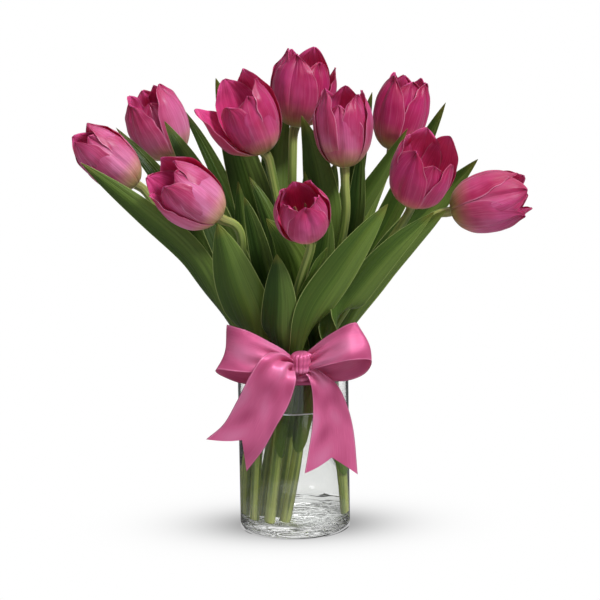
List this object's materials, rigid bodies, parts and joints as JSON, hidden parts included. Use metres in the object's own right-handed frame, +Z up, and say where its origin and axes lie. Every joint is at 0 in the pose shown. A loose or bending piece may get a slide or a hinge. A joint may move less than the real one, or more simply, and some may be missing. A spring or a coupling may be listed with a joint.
{
  "type": "tulips in a vase",
  "caption": "Bunch of pink tulips with long green leaves, standing in water in a clear glass cylinder vase with a satin ribbon bow at its mouth.",
  "frame": {"origin": "centre of the vase's flat underside, on the surface it stands on", "axes": "+Z up along the vase's axis, -Y towards the front, where the bow is, +X to the viewer's right"},
  "size_m": [0.3637, 0.2145, 0.3828],
  "materials": {
    "glass": "clear, smooth",
    "water": "clear, still",
    "satin": "satin",
    "petal": "silky petal",
    "stem": "smooth, waxy",
    "leaf": "smooth, waxy"
  },
  "bodies": {
    "root": {"vase": "glass", "water": "water", "ribbon": "satin", "stem_01": "stem", "stem_02": "stem", "stem_03": "stem", "stem_04": "stem", "stem_05": "stem", "stem_06": "stem", "stem_07": "stem", "stem_08": "stem", "stem_09": "stem", "stem_10": "stem", "bloom_01": "petal", "bloom_02": "petal", "bloom_03": "petal", "bloom_04": "petal", "bloom_05": "petal", "bloom_06": "petal", "bloom_07": "petal", "bloom_08": "petal", "bloom_09": "petal", "bloom_10": "petal", "leaf_01a": "leaf", "leaf_01b": "leaf", "leaf_02a": "leaf", "leaf_02b": "leaf", "leaf_02c": "leaf", "leaf_03a": "leaf", "leaf_03b": "leaf", "leaf_03c": "leaf", "leaf_04a": "leaf", "leaf_04b": "leaf", "leaf_04c": "leaf", "leaf_05a": "leaf", "leaf_05b": "leaf", "leaf_05c": "leaf", "leaf_06a": "leaf", "leaf_06b": "leaf", "leaf_07a": "leaf", "leaf_07b": "leaf", "leaf_07c": "leaf", "leaf_08a": "leaf", "leaf_08b": "leaf", "leaf_09a": "leaf", "leaf_09b": "leaf", "leaf_10a": "leaf", "leaf_10b": "leaf", "leaf_10c": "leaf"}
  },
  "joints": []
}
